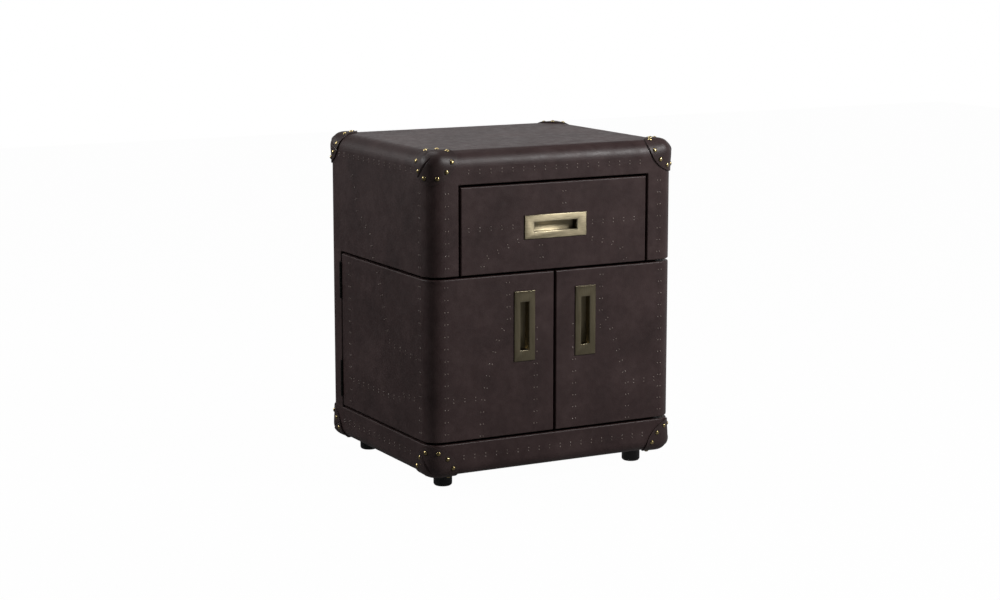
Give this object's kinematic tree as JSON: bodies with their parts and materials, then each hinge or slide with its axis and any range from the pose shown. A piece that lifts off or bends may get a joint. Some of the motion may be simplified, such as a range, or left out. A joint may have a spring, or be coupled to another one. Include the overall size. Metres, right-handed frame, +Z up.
{
  "type": "nightstand",
  "caption": "Leather-covered trunk nightstand with a drawer over a cupboard whose doors wrap round the front corners, nailed corner caps, flush pulls and short round feet.",
  "frame": {"origin": "on the floor under the middle of the case", "axes": "+Z up, the front faces -Y, +X to the right as seen from the front"},
  "size_m": [0.5168, 0.4408, 0.6144],
  "materials": {
    "leather": "dark brown pieced leather, semi-matte, worn lighter along the edges",
    "cap_leather": "dark brown smooth leather, a little glossier than the case",
    "case_wood": "dark stained boards",
    "drawer_wood": "clear-lacquered mid-brown wood",
    "pull_brass": "brushed antique brass",
    "nail_brass": "polished antique brass",
    "hinge_steel": "black lacquered steel",
    "runner_steel": "bright zinc-plated steel",
    "foot_plastic": "black moulded plastic",
    "catch_plastic": "dark brown moulded plastic"
  },
  "bodies": {
    "carcass": {"back_panel": "case_wood", "base_bottom_panel": "case_wood", "base_cap_front_left": "cap_leather", "base_cap_front_right": "cap_leather", "base_cap_nails": "nail_brass", "base_cap_rear_left": "cap_leather", "base_cap_rear_right": "cap_leather", "base_frame": "case_wood", "base_leather": "leather", "cupboard_floor": "case_wood", "divider_board": "case_wood", "feet": "foot_plastic", "front_stile_left": "case_wood", "front_stile_right": "case_wood", "hinge_case_leaves": "hinge_steel", "hinge_case_screws": "hinge_steel", "hinge_pins": "hinge_steel", "inner_side_left": "case_wood", "inner_side_right": "case_wood", "magnet_catches": "catch_plastic", "rear_leather": "leather", "rear_post_left": "case_wood", "rear_post_right": "case_wood", "slide_cleats": "case_wood", "slide_outer_members": "runner_steel", "top_board": "case_wood", "top_cap_front_left": "cap_leather", "top_cap_front_right": "cap_leather", "top_cap_nails": "nail_brass", "top_cap_rear_left": "cap_leather", "top_cap_rear_right": "cap_leather", "top_rail": "case_wood", "upper_leather": "leather", "upper_side_left": "case_wood", "upper_side_right": "case_wood"},
    "drawer": {"drawer_back": "drawer_wood", "drawer_bottom": "drawer_wood", "drawer_front_board": "case_wood", "drawer_leather": "leather", "drawer_pull": "pull_brass", "drawer_side_left": "drawer_wood", "drawer_side_right": "drawer_wood", "slide_inner_members": "runner_steel"},
    "slide_middle": {"slide_middle_members": "runner_steel"},
    "door_left": {"door_left_corner_post": "case_wood", "door_left_front_board": "case_wood", "door_left_hinge_leaves": "hinge_steel", "door_left_hinge_screws": "hinge_steel", "door_left_leather": "leather", "door_left_pull": "pull_brass", "door_left_side_board": "case_wood", "door_left_strike": "runner_steel"},
    "door_right": {"door_right_corner_post": "case_wood", "door_right_front_board": "case_wood", "door_right_hinge_leaves": "hinge_steel", "door_right_hinge_screws": "hinge_steel", "door_right_leather": "leather", "door_right_pull": "pull_brass", "door_right_side_board": "case_wood", "door_right_strike": "runner_steel"}
  },
  "joints": [
    {"name": "drawer_slide", "type": "slide", "parent": "carcass", "child": "drawer", "axis": [0, -1, 0], "range_m": [0, 0.28]},
    {"name": "slide_middle_travel", "type": "slide", "parent": "carcass", "child": "slide_middle", "axis": [0, -1, 0], "range_m": [0, 0.14]},
    {"name": "door_left_hinge", "type": "hinge", "parent": "carcass", "child": "door_left", "pos_m": [-0.2552, 0.156, 0.24], "axis": [0, 0, -1], "range_deg": [0, 170]},
    {"name": "door_right_hinge", "type": "hinge", "parent": "carcass", "child": "door_right", "pos_m": [0.2552, 0.156, 0.24], "axis": [0, 0, 1], "range_deg": [0, 170]}
  ],
  "couplings": [
    {"joint": "slide_middle_travel", "follows": "drawer_slide", "ratio": 0.5}
  ]
}
